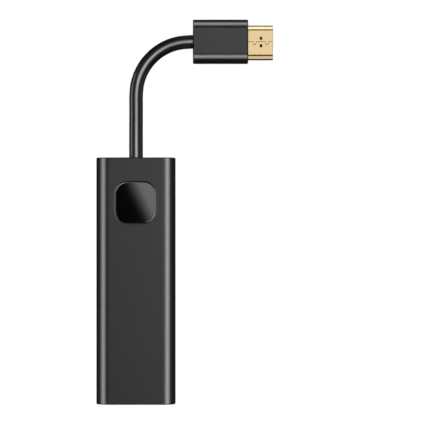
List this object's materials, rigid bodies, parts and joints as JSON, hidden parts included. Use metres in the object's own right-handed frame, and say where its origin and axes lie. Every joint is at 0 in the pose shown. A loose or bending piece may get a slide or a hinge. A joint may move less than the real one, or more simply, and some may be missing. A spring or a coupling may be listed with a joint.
{
  "type": "streaming media player",
  "caption": "Slim stick-shaped media player with a gloss window, a side reset button and a short captive video lead that ends in a plug.",
  "frame": {"origin": "middle of the casing's rear face, on which the player lies", "axes": "+Z out of the front face with the gloss window, +Y along the casing towards its lead, +X the way the plug points"},
  "size_m": [0.0709, 0.1543, 0.014],
  "materials": {
    "case_plastic": "satin black moulded plastic with a fine grain",
    "gloss_window": "polished black plastic",
    "adhesive": "black double-sided foam adhesive",
    "label": "blank dark grey film label",
    "button_plastic": "fine matt black plastic",
    "component_black": "moulded epoxy component body",
    "circuit_board": "green solder mask over copper",
    "module_board": "blue solder mask over copper",
    "ferrite": "dull grey ferrite",
    "tinned_can": "bright tinned steel sheet",
    "thermal_pad": "soft blue-grey silicone pad",
    "aluminium": "plain rolled aluminium",
    "socket_steel": "nickel-plated steel",
    "screw_steel": "zinc-plated steel",
    "connector_nylon": "natural nylon",
    "flex_circuit": "amber polyimide film over copper",
    "dark_lens": "dark infrared-clear epoxy",
    "led_lens": "clear epoxy over a phosphor",
    "lead_jacket": "satin black PVC jacket",
    "grommet_rubber": "black moulded PVC",
    "plug_mould": "black moulded PVC",
    "insert_plastic": "black glass-filled nylon",
    "gold_plate": "gold-plated sheet metal"
  },
  "bodies": {
    "casing": {"front_cover": "case_plastic", "rear_cover": "case_plastic", "front_window": "gloss_window", "window_adhesive": "adhesive", "rating_label": "label", "switch_body": "component_black", "main_board": "circuit_board", "soc_chip": "component_black", "ram_chip": "component_black", "flash_chip": "component_black", "power_chip": "component_black", "inductor_1": "ferrite", "inductor_2": "ferrite", "crystal": "tinned_can", "wifi_board": "module_board", "wifi_can": "tinned_can", "shield_can": "tinned_can", "chip_pad": "thermal_pad", "spreader_pad": "thermal_pad", "heat_spreader": "aluminium", "power_socket_shell": "socket_steel", "power_socket_tongue": "insert_plastic", "ir_receiver": "dark_lens", "status_led": "led_lens", "antenna": "flex_circuit", "board_screw_1": "screw_steel", "board_screw_2": "screw_steel", "lead_header": "connector_nylon", "lead_connector": "connector_nylon", "lead_tail": "lead_jacket", "cable_grommet": "grommet_rubber", "cable_clamp": "screw_steel", "clamp_screw_1": "screw_steel", "clamp_screw_2": "screw_steel", "lead": "lead_jacket", "plug_housing": "case_plastic", "plug_inner_mould": "plug_mould", "plug_shell": "gold_plate", "plug_insert": "insert_plastic", "contact_upper_01": "gold_plate", "contact_upper_02": "gold_plate", "contact_upper_03": "gold_plate", "contact_upper_04": "gold_plate", "contact_upper_05": "gold_plate", "contact_upper_06": "gold_plate", "contact_upper_07": "gold_plate", "contact_upper_08": "gold_plate", "contact_upper_09": "gold_plate", "contact_upper_10": "gold_plate", "contact_lower_01": "gold_plate", "contact_lower_02": "gold_plate", "contact_lower_03": "gold_plate", "contact_lower_04": "gold_plate", "contact_lower_05": "gold_plate", "contact_lower_06": "gold_plate", "contact_lower_07": "gold_plate", "contact_lower_08": "gold_plate", "contact_lower_09": "gold_plate"},
    "side_button": {"reset_button": "button_plastic"},
    "switch_plunger": {"switch_stem": "connector_nylon"}
  },
  "joints": [
    {"name": "side_button_press", "type": "slide", "parent": "casing", "child": "side_button", "axis": [-1, 0, 0], "range_m": [0, 0.0003], "stiffness_N_per_m": 800, "springref_m": -0.001},
    {"name": "switch_plunger_slide", "type": "slide", "parent": "casing", "child": "switch_plunger", "axis": [-1, 0, 0], "range_m": [0, 0.0003]}
  ],
  "couplings": [
    {"joint": "switch_plunger_slide", "follows": "side_button_press", "ratio": 1}
  ]
}
